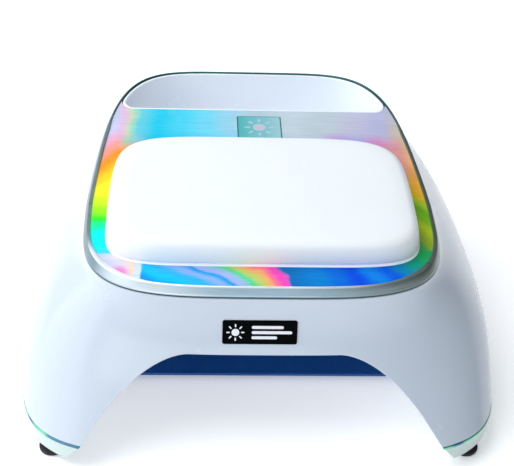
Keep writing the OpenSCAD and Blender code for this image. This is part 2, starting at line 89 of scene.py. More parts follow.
DECK = Matrix.Translation((0, 0, DECK_Z)) @ Matrix.Rotation(TILT, 4, "X")
REAR = Matrix(((1, 0, 0, 0), (0, 0, 1, 0), (0, 1, 0, 0), (0, 0, 0, 1)))      # z of a piece points to +Y
BADGE = (Matrix.Translation((-2.5, -91.3, 63)) @ Matrix.Rotation(math.radians(-16.5), 4, "X")
         @ Matrix.Translation((0, 0.7, 0)) @ Matrix.Rotation(math.radians(90), 4, "X"))


# -------------------- outlines shared with the CAD
def outline(t, a, yf, yr, yc, nf, nr, k):
    """Two superellipse halves joined at yc, narrowed towards the rear by k, as x and y arrays."""
    t = np.asarray(t, float)
    s, c = np.sin(t), np.cos(t)
    front = s < 0
    b = np.where(front, yc - yf, yr - yc)
    n = np.where(front, nf, nr)
    r = (np.abs(c / a) ** n + np.abs(s / b) ** n) ** (-1 / n)
    rise = np.where(front, 0, np.clip(r * s / b, 0, None))
    return r * c * (1 - k * rise ** 1.3), yc + r * s


def body_xyz(t, h, d=0.0, drop=0.0):
    """Points of the housing at angle t and height fraction h, moved in by d, its deck lowered by drop."""
    h = np.asarray(h, float)
    g = 1 - h
    quarter = np.sin(math.pi / 2 * g)
    x, y = outline(t, RING_W + (BODY_W - RING_W) * np.clip(1 - h ** 3, 0, 1) ** 1.4 - d,
                   RING_FRONT + (BODY_FRONT - RING_FRONT) * np.clip(g, 0, 1) ** 1.8 + d,
                   RING_REAR + (BODY_REAR - RING_REAR) * quarter - d,
                   -22 - 18 * g, 3.9 - 0.8 * np.sin(math.pi * g) + 0.4 * g, 5.3 - 2.1 * g,
                   0.13 - 0.05 * quarter)
    z = SHELL_Z + (DECK_Z + math.tan(TILT) * y - drop - SHELL_Z) * h
    return np.stack([x, y, z], -1)


def ring_xy(t, i):
    xy = outline(t, RING_W - i, RING_FRONT + 1.7 * i, RING_REAR - 0.7 * i, -22, 3.9, 5.3, 0.13)
    return np.stack(xy, -1)


def rest_xy(t, d):
    return np.stack(outline(t, REST_W - d, REST_FRONT + d, REST_REAR - d, REST_MID, 6, 5.2, 0.03), -1)


def foot_xy(t, d):
    return body_xyz(t, 0.0, d)[:, :2]


def arch_z(x):
    over = np.clip((np.abs(x) - ARCH_FLAT) / (ARCH_W - ARCH_FLAT), 0, None)
    return ARCH_H * (1 - over ** ARCH_POWER)


def arch_x(z):
    return ARCH_FLAT + (ARCH_W - ARCH_FLAT) * (1 - z / ARCH_H) ** (1 / ARCH_POWER)


def arch_section(o):
    """Closed outline of the arch moved out by o, as x, z points down to below the floor."""
    right = [(x + o, float(arch_z(x)) + o) for x in np.linspace(ARCH_W, ARCH_FLAT, 60)]
    return [(ARCH_W + o, -20)] + right + [(-x, z) for x, z in right[::-1]] + [(-ARCH_W - o, -20)]


def even_angles(curve, n, start=-math.pi / 2, stop=None):
    """n angles that space the points of a curve evenly along its length, from the front centre."""
    stop = start + 2 * math.pi if stop is None else stop
    fine = np.linspace(start, stop, 6001)
    pts = curve(fine)
    run = np.concatenate([[0], np.cumsum(np.linalg.norm(np.diff(pts, axis=0), axis=1))])
    return np.interp(np.linspace(0, run[-1], n, endpoint=False), run, fine)


def slot_xy(d):
    """Handle slot moved in by d: straight front, round corners, rear parallel to the ring."""
    cy = SLOT_Y + SLOT_R
    turn = np.linspace(-math.pi / 2, 0, 14)
    right = np.stack([SLOT_X + (SLOT_R - d) * np.cos(turn), cy + (SLOT_R - d) * np.sin(turn)], -1)
    fine = np.linspace(0, math.pi / 2, 4001)
    first = fine[np.argmax(ring_xy(fine, 2.8 + d)[:, 1] > cy + 2)]
    t = even_angles(lambda a: ring_xy(a, 2.8 + d), 220, first, math.pi - first)
    return np.concatenate([right, ring_xy(t, 2.8 + d), right[::-1] * [-1, 1]])


def round_rect(cx, cy, w, h, r, steps=8):
    """Corner arcs of a w by h rectangle centred on cx, cy."""
    pts = []
    for sx, sy, start in ((1, -1, -90), (1, 1, 0), (-1, 1, 90), (-1, -1, 180)):
        for i in range(steps + 1):
            a = math.radians(start + 90 * i / steps)
            pts.append((cx + sx * (w / 2 - r) + r * math.cos(a), cy + sy * (h / 2 - r) + r * math.sin(a)))
    return np.array(pts)


def circle(cx, cy, r, n=48):
    a = np.linspace(0, 2 * math.pi, n, endpoint=False)
    return np.stack([cx + r * np.cos(a), cy + r * np.sin(a)], -1)


# -------------------- mesh helpers
def put(name, data):
    obj = bpy.data.objects.new(name, data)
    bpy.context.scene.collection.objects.link(obj)
    return obj


def new_object(name, verts, faces, matrix=None):
    """Object in metres from points in millimetres, its normals turned outwards."""
    mesh = bpy.data.meshes.new(name)
    mesh.from_pydata([tuple(map(float, v)) for v in verts], [], faces)
    if matrix is not None:
        mesh.transform(matrix)
    mesh.transform(Matrix.Scale(MM, 4))
    bm = bmesh.new()
    bm.from_mesh(mesh)
    bmesh.ops.remove_doubles(bm, verts=bm.verts, dist=1e-7)
    bmesh.ops.recalc_face_normals(bm, faces=bm.faces)
    bm.to_mesh(mesh)
    bm.free()
    mesh.shade_smooth()
    return put(name, mesh)


def apply_modifiers(obj):
    graph = bpy.context.evaluated_depsgraph_get()
    graph.update()
    mesh = bpy.data.meshes.new_from_object(obj.evaluated_get(graph))
    obj.modifiers.clear()
    old = obj.data
    obj.data = mesh
    bpy.data.meshes.remove(old)


def lift(xy, z):
    """Points xy at height z, which may be a number or one height per point."""
    xy = np.asarray(xy, float)
    return np.column_stack([xy, np.broadcast_to(z, len(xy))])


def loft(name, rows, matrix=None, closed=False):
    """Solid over rows of points that run round it: capped at both ends, or closed into a ring of rows."""
    cols = len(rows[0])
    count = len(rows)
    faces = []
    for k in range(count if closed else count - 1):
        a, b = k * cols, ((k + 1) % count) * cols
        for i in range(cols):
            j = (i + 1) % cols
            faces.append((a + i, a + j, b + j, b + i))
    if not closed:
        faces.append(tuple(range(cols - 1, -1, -1)))
        faces.append(tuple(range((count - 1) * cols, count * cols)))
    return new_object(name, np.concatenate(rows), faces, matrix)


def prism(name, xy, z0, z1, matrix=None):
    return loft(name, [lift(xy, z0), lift(xy, z1)], matrix)


def plate_y(x, z, w, h, r, y0, y1, name="plate"):
    """Rounded w by h plate that faces the rear, from y0 to y1."""
    return prism(name, round_rect(x, z, w, h, r), y0, y1, REAR)


def arch_prism(o, y0, y1):
    """Solid that fills the arch moved out by o, from y0 to y1."""
    return prism("arch", arch_section(o), y0, y1, REAR)


def soften(profile, radius, steps=4, closed=False):
    """Profile with its corners rounded by up to radius, which may be one number per corner."""
    pts = [np.array(p, float) for p in profile]
    n = len(pts)
    radii = radius if isinstance(radius, (list, tuple)) else [radius] * n
    out = []
    for k, p in enumerate(pts):
        if not closed and k in (0, n - 1) or radii[k] == 0:
            out.append(p)
            continue
        a, b = pts[k - 1] - p, pts[(k + 1) % n] - p
        cut = min(radii[k], 0.49 * np.linalg.norm(a), 0.49 * np.linalg.norm(b))
        start, end = p + a / np.linalg.norm(a) * cut, p + b / np.linalg.norm(b) * cut
        for s in np.linspace(0, 1, steps + 1):
            out.append((1 - s) ** 2 * start + 2 * s * (1 - s) * p + s ** 2 * end)
    return out


def lathe(name, profile, matrix=None, n=64):
    """Turned solid from (radius, height) points, both ends on or near the axis."""
    a = np.linspace(0, 2 * math.pi, n, endpoint=False)
    rows = [np.stack([r * np.cos(a), r * np.sin(a), np.full(n, z)], -1) for r, z in profile]
    return loft(name, rows, matrix)


def join(name, pieces):
    """One object from several."""
    bm = bmesh.new()
    for p in pieces:
        bm.from_mesh(p.data)
        bpy.data.objects.remove(p)
    mesh = bpy.data.meshes.new(name)
    bm.to_mesh(mesh)
    bm.free()
    mesh.shade_smooth()
    return put(name, mesh)


def cut(obj, *cutters, operation="DIFFERENCE"):
    """Cuts obj with each cutter in turn, and removes the cutters."""
    for tool in cutters:
        m = obj.modifiers.new("cut", "BOOLEAN")
        m.operation = operation
        m.solver = "EXACT"
        m.object = tool
        apply_modifiers(obj)
        bpy.data.objects.remove(tool)
    return obj


def round_edges(obj, width, segments=3, degrees=40):
    m = obj.modifiers.new("round", "BEVEL")
    m.width = width * MM
    m.segments = segments
    m.limit_method = "ANGLE"
    m.angle_limit = math.radians(degrees)
    m.miter_outer = "MITER_ARC"
    apply_modifiers(obj)
    return obj


def crisp(obj, degrees=38):
    """Smooth shading that keeps flat faces flat and edges sharper than the angle hard."""
    obj.data.shade_smooth()
    obj.data.set_sharp_from_angle(angle=math.radians(degrees))
    m = obj.modifiers.new("normals", "WEIGHTED_NORMAL")
    m.keep_sharp = True
    apply_modifiers(obj)
    return obj


def dress(obj, material, slot, *nodes, body="housing"):
    """Gives a piece its material, the nodes that it stands for and its body; slot is not used."""
    obj.data.materials.clear()
    obj.data.materials.append(material)
    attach(obj, body)
    if nodes:
        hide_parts(*nodes)
    return obj


# -------------------- materials
def srgb(r, g, b):
    """Linear colour from 0-255 display values."""
    def linear(v):
        v /= 255
        return v / 12.92 if v <= 0.04045 else ((v + 0.055) / 1.055) ** 2.4
    return linear(r), linear(g), linear(b), 1.0


class Finish:
    """A procedural material in object coordinates, which are the frame's own metres."""

    def __init__(self, name):
        self.material = bpy.data.materials.new(name)
        self.material.use_nodes = True
        self.tree = self.material.node_tree
        self.shader = self.tree.nodes["Principled BSDF"]
        self.place = self.add("ShaderNodeTexCoord").outputs["Object"]

    def add(self, kind, **settings):
        node = self.tree.nodes.new(kind)
        for key, value in settings.items():
            setattr(node, key, value)
        return node

    def feed(self, socket, value):
        """Links value to socket if it is an output, and sets it otherwise."""
        if isinstance(value, bpy.types.NodeSocket):
            self.tree.links.new(value, socket)
        else:
            socket.default_value = value

    def set(self, **sockets):
        """Sets shader sockets: spaces in their names are written as underscores."""
        for key, value in sockets.items():
            self.feed(self.shader.inputs[key.replace("_", " ")], value)

    def stretched(self, scale):
        node = self.add("ShaderNodeMapping")
        self.feed(node.inputs["Vector"], self.place)
        node.inputs["Scale"].default_value = scale
        return node.outputs["Vector"]

    def noise(self, scale, detail=2.0, roughness=0.5, vector=None):
        node = self.add("ShaderNodeTexNoise")
        self.feed(node.inputs["Vector"], vector or self.place)
        node.inputs["Scale"].default_value = scale
        node.inputs["Detail"].default_value = detail
        node.inputs["Roughness"].default_value = roughness
        return node.outputs["Fac"]

    def cells(self, scale):
        node = self.add("ShaderNodeTexVoronoi", feature="F1")
        self.feed(node.inputs["Vector"], self.place)
        node.inputs["Scale"].default_value = scale
        return node.outputs["Distance"]

    def span(self, value, low, high, to_low=0.0, to_high=1.0, smooth=False):
        node = self.add("ShaderNodeMapRange", interpolation_type="SMOOTHSTEP" if smooth else "LINEAR")
        self.feed(node.inputs["Value"], value)
        for key, number in (("From Min", low), ("From Max", high), ("To Min", to_low), ("To Max", to_high)):
            node.inputs[key].default_value = number
        return node.outputs["Result"]

    def math(self, operation, a, b=0.0):
        node = self.add("ShaderNodeMath", operation=operation)
        self.feed(node.inputs[0], a)
        self.feed(node.inputs[1], b)
        return node.outputs[0]

    def plus(self, a, b, times=1.0):
        return self.math("ADD", a, b if times == 1 else self.math("MULTIPLY", b, times))

    def minus(self, a, b):
        return self.math("SUBTRACT", a, b)

    def times(self, a, b):
        return self.math("MULTIPLY", a, b)

    def axes(self, vector=None):
        """x, y and z of a vector, or of the place."""
        node = self.add("ShaderNodeSeparateXYZ")
        self.feed(node.inputs[0], vector or self.place)
        return node.outputs["X"], node.outputs["Y"], node.outputs["Z"]

    def blend(self, factor, a, b):
        node = self.add("ShaderNodeMix", data_type="RGBA")
        self.feed(node.inputs["Factor"], factor)
        self.feed(node.inputs["A"], a)
        self.feed(node.inputs["B"], b)
        return node.outputs["Result"]

    def ramp(self, value, stops):
        """Colours along value: stops are (place, (r, g, b)) with display colours."""
        node = self.add("ShaderNodeValToRGB")
        node.color_ramp.interpolation = "EASE"
        self.feed(node.inputs["Fac"], value)
        marks = node.color_ramp.elements
        marks[0].position, marks[0].color = stops[0][0], srgb(*stops[0][1])
        marks[1].position, marks[1].color = stops[-1][0], srgb(*stops[-1][1])
        for place, colour in stops[1:-1]:
            marks.new(place).color = srgb(*colour)
        return node.outputs["Color"]

    def bump(self, height, strength, depth):
        """Normal from a height of 0-1, depth in millimetres."""
        node = self.add("ShaderNodeBump")
        self.feed(node.inputs["Height"], height)
        node.inputs["Strength"].default_value = strength
        node.inputs["Distance"].default_value = depth * MM
        self.set(Normal=node.outputs["Normal"])


def moulded(name, shade, rough, grain=900, depth=0.02, drift=0.03, **sockets):
    """Moulded plastic or rubber in a display colour, slightly uneven, over a fine grain."""
    f = Finish(name)
    colour = srgb(*shade)
    cloud = f.noise(22, 3)
    dark = tuple(c * (1 - drift) for c in colour[:3]) + (1,)
    light = tuple(min(1, c * (1 + drift)) for c in colour[:3]) + (1,)
    f.set(Base_Color=f.blend(cloud, dark, light))
    f.set(Roughness=f.span(f.noise(60, 4), 0.3, 0.7, rough * 0.85, rough * 1.15))
    f.bump(f.noise(grain, 2, 0.6), 0.6, depth)
    f.set(**sockets)
    return f.material


def brushed(name, colour, rough):
    """Brushed metal with its lines along x."""
    f = Finish(name)
    lines = f.noise(60, 6, 0.7, f.stretched((1, 40, 40)))
    dark = tuple(c * 0.86 for c in colour[:3]) + (1,)
    f.set(Base_Color=f.blend(lines, dark, colour), Metallic=1.0)
    f.set(Roughness=f.span(lines, 0.25, 0.75, rough * 0.75, rough * 1.3))
    f.bump(lines, 0.35, 0.02)
    return f.material


def iridescent(name):
    """Hologram film: runs of colour that slant past the cushion, over fine brushed lines."""
    f = Finish(name)
    x, y, _ = f.axes()
    edge = f.math("ABSOLUTE", x)
    wander = f.minus(f.noise(30, 2), 0.5)
    drift = f.minus(f.noise(17, 2, vector=f.stretched((1, 1.7, 1))), 0.5)
    curl = f.minus(f.noise(75, 2), 0.5)

    lean = f.span(y, -0.02, 0.025, 0.25, 1.4)
    left_run = f.plus(f.plus(y, f.times(lean, f.plus(x, 0.0845)), -1), wander, 0.01)
    left = f.ramp(f.span(left_run, -0.085, 0.07), [
        (0.0, (175, 200, 240)), (0.12, (70, 195, 240)), (0.18, (15, 232, 248)), (0.24, (15, 248, 225)),
        (0.295, (25, 248, 150)), (0.318, (50, 245, 50)), (0.36, (146, 252, 35)), (0.42, (200, 252, 40)),
        (0.47, (242, 234, 50)), (0.52, (253, 204, 40)), (0.59, (253, 150, 40)), (0.65, (252, 160, 150)),
        (0.71, (238, 178, 215)), (0.78, (208, 208, 242)), (0.85, (190, 205, 228)), (1.0, (205, 222, 230))])
    right = f.ramp(f.span(f.plus(f.plus(y, x, 1.4), wander, 0.012), 0.0277, 0.1827), [
        (0.0, (20, 150, 110)), (0.17, (70, 165, 80)), (0.21, (140, 168, 50)), (0.29, (168, 194, 38)),
        (0.34, (120, 178, 35)), (0.38, (108, 172, 32)), (0.43, (156, 196, 40)), (0.48, (222, 176, 38)),
        (0.56, (234, 174, 58)), (0.61, (228, 162, 76)), (0.68, (238, 176, 108)), (0.75, (216, 180, 130)),
        (0.82, (204, 186, 160)), (0.9, (188, 188, 178)), (1.0, (190, 196, 192))])
    spread = f.span(x, -0.025, 0.008, 2.0, 0.5)
    streak_x = f.plus(f.plus(x, f.times(spread, f.plus(y, 0.0745))), curl, 0.012)
    front = f.ramp(f.span(streak_x, -0.085, 0.085), [
        (0.0, (0, 130, 240)), (0.12, (0, 150, 245)), (0.19, (15, 195, 250)), (0.25, (50, 180, 242)),
        (0.3, (140, 178, 240)), (0.34, (25, 160, 232)), (0.365, (165, 180, 240)), (0.395, (150, 190, 225)),
        (0.42, (85, 215, 145)), (0.45, (190, 205, 110)), (0.48, (242, 172, 108)), (0.508, (250, 115, 150)),
        (0.535, (248, 74, 190)), (0.55, (225, 85, 190)), (0.56, (8, 112, 185)), (0.63, (5, 125, 205)),
        (0.7, (0, 105, 215)), (0.75, (0, 75, 222)), (0.8, (8, 130, 225)), (0.85, (0, 92, 222)),
        (0.9, (10, 130, 180)), (0.945, (18, 155, 125)), (1.0, (32, 168, 92))])
    across = f.span(f.plus(x, drift, 0.02), -0.085, 0.085)
    back = f.ramp(across, [
        (0.0, (200, 206, 240)), (0.05, (206, 196, 230)), (0.075, (224, 186, 220)), (0.095, (208, 206, 190)),
        (0.11, (150, 216, 190)), (0.13, (100, 203, 222)), (0.19, (40, 200, 232)), (0.26, (75, 208, 236)),
        (0.34, (112, 212, 238)), (0.43, (150, 207, 230)), (0.5, (178, 199, 214)), (0.62, (190, 206, 216)),
        (0.74, (186, 200, 210)), (0.82, (190, 190, 214)), (0.9, (178, 181, 214)), (0.95, (184, 186, 204)),
        (1.0, (198, 186, 168))])
    deep = f.ramp(across, [
        (0.0, (220, 170, 200)), (0.06, (248, 150, 130)), (0.09, (140, 200, 170)), (0.125, (140, 186, 216)),
        (0.16, (20, 175, 205)), (0.23, (15, 190, 228)), (0.36, (90, 205, 236)), (0.46, (140, 200, 228)),
        (0.56, (178, 196, 214)), (0.7, (178, 188, 216)), (0.78, (186, 132, 216)), (0.835, (160, 162, 220)),
        (0.885, (216, 112, 205)), (0.925, (216, 138, 175)), (0.965, (226, 158, 115)), (1.0, (224, 165, 110))])
    pad_x = f.math("POWER", f.math("DIVIDE", edge, 0.078), 6)
    pad_y = f.math("POWER", f.math("DIVIDE", f.math("MAXIMUM", f.plus(y, 0.025), 0), 0.053), 6)
    near_pad = f.span(f.plus(f.plus(pad_x, pad_y), wander, 3), 5.5, 1.2, smooth=True)
    side = f.blend(f.math("GREATER_THAN", x, 0.0), left, right)
    behind = f.times(f.span(edge, 0.081, 0.069, smooth=True), f.span(y, 0.024, 0.036, smooth=True))
    film = f.blend(behind, side, f.blend(near_pad, back, deep))
    rosy = f.times(f.times(f.span(pad_x, 1.35, 0.8, smooth=True), f.span(y, 0.045, 0.03)),
                  f.times(f.span(x, 0.06, 0.066), f.span(y, -0.006, 0.014, smooth=True)))
    film = f.blend(f.times(rosy, 0.7), film, srgb(206, 140, 160))
    blob = f.add("ShaderNodeVectorMath", operation="DISTANCE")
    f.feed(blob.inputs[0], f.place)
    blob.inputs[1].default_value = (-0.0686, -0.0745, 0.0845)
    corner = f.ramp(f.span(f.plus(x, curl, 0.006), -0.085, -0.058), [
        (0.0, (175, 200, 242)), (0.3, (196, 204, 240)), (0.6, (216, 210, 236)), (0.78, (240, 214, 196)),
        (0.9, (206, 224, 236)), (1.0, (208, 226, 238))])
    corner = f.blend(f.span(f.plus(blob.outputs["Value"], curl, 0.004), 0.0058, 0.001, smooth=True), corner,
                     srgb(238, 132, 210))
    low = f.blend(f.span(f.plus(x, curl, 0.003), -0.0592, -0.0584), corner, front)
    film = f.blend(f.span(f.plus(y, x, -0.03), -0.0575, -0.0595), film, low)
    pale = f.noise(48, 3, 0.6, f.stretched((1, 0.45, 1)))
    film = f.blend(f.span(pale, 0.58, 0.78, 0, 0.1), film, srgb(225, 235, 250))
    lines = f.noise(1300, 3, 0.6, f.stretched((0.04, 1, 1)))
    film = f.blend(f.span(lines, 0.35, 0.75, 0, 0.15), film, srgb(0, 0, 0))
    f.set(Base_Color=film, Metallic=0.0, Roughness=0.35, Specular_IOR_Level=0.06)
    # painted glow: the print gives off a little light in its own colours
    f.set(Coat_Weight=0.06, Coat_Roughness=0.08, Emission_Color=film, Emission_Strength=0.1)
    f.bump(lines, 0.15, 0.01)
    return f.material


def mirror_tray(name):
    """Tinted mirror film on the removable tray, with faint handling marks."""
    f = Finish(name)
    marks = f.noise(90, 5, 0.65)
    f.set(Base_Color=f.blend(marks, srgb(0, 52, 112), srgb(4, 78, 150)), Metallic=0.45)
    f.set(Roughness=f.span(marks, 0.3, 0.8, 0.08, 0.2), Coat_Weight=0.2, Coat_Roughness=0.04)
    # painted glow: the tray gives off a faint navy light of its own
    f.set(Emission_Color=srgb(0, 60, 125), Emission_Strength=0.2)
    f.bump(f.noise(40, 2), 0.05, 0.02)
    return f.material


def leather(name, colour):
    """Smooth coated cover with a very fine pebble grain."""
    f = Finish(name)
    pebble = f.cells(1500)
    fine = f.noise(2600, 2)
    height = f.plus(f.times(pebble, 0.7), f.times(fine, 0.3))
    cloud = f.noise(18, 3)
    dull_tone_and_painted_shade = tuple(c * 0.965 for c in colour[:3]) + (1,)
    f.set(Base_Color=f.blend(cloud, dull_tone_and_painted_shade, colour), Roughness=f.span(f.noise(70, 3), 0.3, 0.7, 0.42, 0.54))
    f.set(Subsurface_Weight=0.08, Subsurface_Scale=0.002, Sheen_Weight=0.15, Sheen_Roughness=0.5)
    f.bump(height, 0.22, 0.02)
    return f.material


def clear_lens(name, colour):
    f = Finish(name)
    f.set(Base_Color=f.blend(f.noise(300, 2), colour, srgb(250, 250, 255)), Roughness=0.08)
    f.set(Transmission_Weight=0.6, IOR=1.48, Coat_Weight=0.5)
    f.bump(f.noise(500, 2), 0.1, 0.02)
    return f.material


def ring_metal(name):
    """Satin silver ring: lines along its run, light and shade painted by position (lighter at the front left,
    darker along the right and the sides), a painted glint at the left front corner, a painted highlight along
    the inner top edge, painted shade on the right-hand top and on faces turned to the left, a painted shadow
    line at its foot, and a teal inner slope.
    """
    f = Finish(name)
    x, y, z = f.axes()
    height = f.minus(f.minus(z, DECK_Z * MM), f.times(y, math.tan(TILT)))
    lines = f.noise(700, 5, 0.75, f.stretched((0.1, 0.1, 2.2)))
    # painted light and shade: lit and shaded copies of the silver, lighter at the front left, darker along
    # the right and the sides
    front_left = f.blend(lines, srgb(152, 184, 204), srgb(200, 224, 236))
    front_right = f.blend(lines, srgb(126, 138, 136), srgb(178, 190, 184))
    side_left = f.blend(lines, srgb(98, 122, 128), srgb(142, 166, 170))
    side_right = f.blend(lines, srgb(108, 122, 110), srgb(148, 160, 144))
    lip = f.blend(lines, srgb(150, 190, 180), srgb(214, 236, 218))
    turn = f.span(f.plus(x, f.times(y, 0.2)), -0.01, 0.07, smooth=True)
    along = f.span(y, -0.066, -0.042, smooth=True)
    metal = f.blend(turn, f.blend(along, front_left, side_left), f.blend(along, front_right, side_right))
    metal = f.blend(f.span(y, 0.05, 0.09, smooth=True), metal, lip)
    # painted highlight: a near-white glint on the left front corner
    glint = f.times(f.span(f.plus(x, f.times(y, 0.8)), -0.088, -0.118, smooth=True),
                   f.span(y, -0.066, -0.078, smooth=True))
    metal = f.blend(f.times(glint, 0.6), metal, srgb(246, 250, 253))
    # painted highlight: a white line along the inner top edge, fading towards the right
    painted_edge_highlight = f.times(f.span(height, 0.0041, 0.0044), f.span(y, -0.05, -0.062, smooth=True))
    metal = f.blend(f.times(painted_edge_highlight, f.span(turn, 0.7, 0.4)), metal, srgb(246, 250, 253))
    # painted shade: the upper slope is darkened on the right-hand side
    dull_tone_and_painted_shade = f.times(f.span(height, 0.0026, 0.0042), turn)
    metal = f.blend(f.times(dull_tone_and_painted_shade, 0.7), metal, srgb(56, 66, 62))
    # painted shadow: a dark line along the foot of the ring, where it meets the shell
    metal = f.blend(f.span(height, 0.0012, 0.0007), metal, srgb(44, 62, 66))
    facing = f.add("ShaderNodeVectorMath", operation="DOT_PRODUCT")
    normal = f.add("ShaderNodeNewGeometry").outputs["Normal"]
    f.feed(facing.inputs[0], normal)
    f.feed(facing.inputs[1], f.place)
    # painted shade: faces whose normal turns to the left are darkened
    metal = f.blend(f.span(f.axes(normal)[0], -0.25, -0.7, 0, 0.6), metal, srgb(70, 92, 96))
    inward = f.minus(facing.outputs["Value"], f.times(z, 0.7))
    inner = f.blend(f.span(y, 0.03, 0.075, smooth=True), srgb(96, 124, 126), srgb(26, 92, 98))
    metal = f.blend(f.span(inward, -0.075, -0.09), metal, inner)
    f.set(Base_Color=metal, Metallic=0.5)
    f.set(Roughness=f.span(lines, 0.25, 0.75, 0.24, 0.42), Coat_Weight=0.2, Coat_Roughness=0.12)
    f.bump(lines, 0.35, 0.02)
    return f.material


def teal_film(name):
    """Metallic teal trim that turns to green and violet along its run."""
    f = Finish(name)
    shade = f.ramp(f.noise(26, 3, 0.6), [(0.3, (20, 96, 92)), (0.45, (30, 150, 130)), (0.52, (90, 200, 150)),
                                         (0.6, (40, 120, 140)), (0.75, (96, 90, 150))])
    f.set(Base_Color=shade, Metallic=0.85, Roughness=0.22, Coat_Weight=0.6, Coat_Roughness=0.08)
    f.bump(f.noise(900, 3), 0.15, 0.01)
    return f.material


def tinted_tile(name, cx, cy, width, depth):
    """Teal metallic inlay, stronger towards its left, with a painted shadow line round its edge."""
    f = Finish(name)
    x, y, _ = f.axes()

    def reach(along, middle, size):
        return f.math("DIVIDE", f.math("ABSOLUTE", f.minus(along, middle * MM)), size * MM / 2)
    rim = f.math("MAXIMUM", reach(x, cx, width), reach(y, cy, depth))
    tint = f.ramp(f.span(x, (cx - width / 2) * MM, (cx + width / 2) * MM),
                  [(0.0, (84, 196, 196)), (0.5, (126, 208, 216)), (1.0, (168, 218, 226))])
    # painted shadow: the tile turns dark teal close to its edge
    f.set(Base_Color=f.blend(f.span(rim, 0.93, 0.97), tint, srgb(34, 112, 116)), Metallic=0.2)
    f.set(Roughness=f.span(f.noise(60, 3), 0.3, 0.7, 0.2, 0.3), Coat_Weight=0.3)
    f.bump(f.noise(500, 2), 0.5, 0.01)
    return f.material


GLOSS = moulded("white_gloss", (202, 212, 225), 0.24, grain=420, depth=0.004, drift=0.008,
                Coat_Weight=0.4, Coat_Roughness=0.09)
# painted light: a brighter copy of the white gloss with a faint glow, for the handle well
WELL_WHITE_PAINTED_LIGHT = moulded("white_gloss_well_painted_light", (240, 245, 251), 0.24, grain=420, depth=0.004, drift=0.01,
                     Coat_Weight=0.4, Coat_Roughness=0.08, Emission_Color=srgb(228, 236, 250),
                     Emission_Strength=0.08)
# painted highlight: a whiter, faintly glowing copy of the white gloss for the rim under the cushion
RIM_WHITE_PAINTED_HIGHLIGHT = moulded("white_gloss_rim_painted_highlight", (250, 252, 255), 0.2, grain=420, depth=0.004, drift=0.01,
                    Coat_Weight=0.5, Emission_Color=srgb(235, 243, 255), Emission_Strength=0.2)
PEARL = moulded("pearl_frame", (197, 214, 211), 0.2, grain=600, depth=0.006, drift=0.02, Metallic=0.15,
                Coat_Weight=0.6, Coat_Roughness=0.08)
MATTE = moulded("white_matte", (232, 234, 236), 0.55)
TEAL = teal_film("teal_metallic")
RUBBER = moulded("foot_rubber", (34, 34, 37), 0.75, grain=1500, depth=0.05, drift=0.15)
SILVER = ring_metal("bezel_silver")
FILM = iridescent("iridescent_print")
EMBLEM = tinted_tile("emblem_teal", EMBLEM_X, EMBLEM_Y, EMBLEM_W, EMBLEM_D)
EMBLEM_LIGHT = moulded("emblem_silver", (205, 212, 228), 0.25, grain=500, depth=0.01, Metallic=0.2)
CUSHION = leather("cushion", srgb(246, 251, 255))
BADGE_INK = moulded("badge_black", (2, 3, 5), 0.42, grain=700, depth=0.005, drift=0.2,
                    Specular_IOR_Level=0.03)
BADGE_WHITE = moulded("badge_print", (236, 240, 246), 0.3, grain=700, depth=0.004)
REFLECTOR = moulded("reflector_white", (236, 240, 246), 0.12, grain=300, depth=0.005, drift=0.01,
                    Coat_Weight=0.5)
TRAY = mirror_tray("tray_navy")
BOARD_WHITE = moulded("board_white", (228, 232, 228), 0.45, drift=0.02)
BOARD_GREEN = moulded("board_green", (20, 92, 56), 0.35, grain=500, depth=0.03, drift=0.12)
LENS = clear_lens("led_lens", srgb(220, 214, 245))
SENSOR = moulded("sensor_black", (14, 14, 18), 0.12, grain=500, depth=0.01, Coat_Weight=0.6)
ALUMINIUM = brushed("aluminium", srgb(205, 207, 210), 0.32)
BLACK_PARTS = moulded("component_black", (30, 30, 33), 0.5, drift=0.2)
CELL = moulded("cell_wrap", (40, 92, 165), 0.25, grain=200, depth=0.04, drift=0.08)
WIRE = moulded("wire_red", (176, 28, 28), 0.4, drift=0.06)
PANEL = moulded("panel_grey", (214, 220, 226), 0.38, grain=1100, depth=0.03, drift=0.015)
WINDOW = moulded("display_glass", (8, 9, 14), 0.06, grain=200, depth=0.003, drift=0.3, Coat_Weight=1.0,
                 Coat_Roughness=0.02)
BUTTON = moulded("button_silver", (188, 196, 204), 0.3, grain=900, depth=0.02, Metallic=0.35)
ROCKER = moulded("rocker_red", (170, 20, 22), 0.2, grain=700, depth=0.01, drift=0.05, Coat_Weight=0.3)
LAMP = moulded("lamp_green", (90, 220, 120), 0.2, Transmission_Weight=0.3)
STEEL = brushed("steel", srgb(190, 190, 194), 0.3)


# -------------------- housing
def skin_angles(d):
    """Angles of the housing's columns, one exactly at each tip of the arch."""
    t = even_angles(lambda a: body_xyz(a, 0.35, d), COLUMNS)
    low = body_xyz(t, 0.0, d)
    reach = float(arch_x(SHELL_Z))
    for side in (1, -1):
        fine = np.linspace(-math.pi / 2, 0, 20001)
        tip = fine[np.argmax(body_xyz(fine, 0.0, d)[:, 0] >= reach)]
        tip = tip if side > 0 else math.pi - tip
        front = np.where(low[:, 1] < FRONT_PART)[0]
        k = front[np.argmin(np.abs(low[front, 0] - side * reach))]
        t[k] = tip
    return t


def arch_start(t, d, drop):
    """Height fraction at which each column of the housing starts above the arch."""
    lo, hi = np.zeros(len(t)), np.full(len(t), 0.9)
    for _ in range(50):
        mid = (lo + hi) / 2
        p = body_xyz(t, mid, d, drop)
        inside = (p[:, 2] < arch_z(p[:, 0])) & (p[:, 1] < FRONT_PART)
        lo, hi = np.where(inside, mid, lo), np.where(inside, hi, mid)
    return np.where(lo < 1e-6, 0, lo)


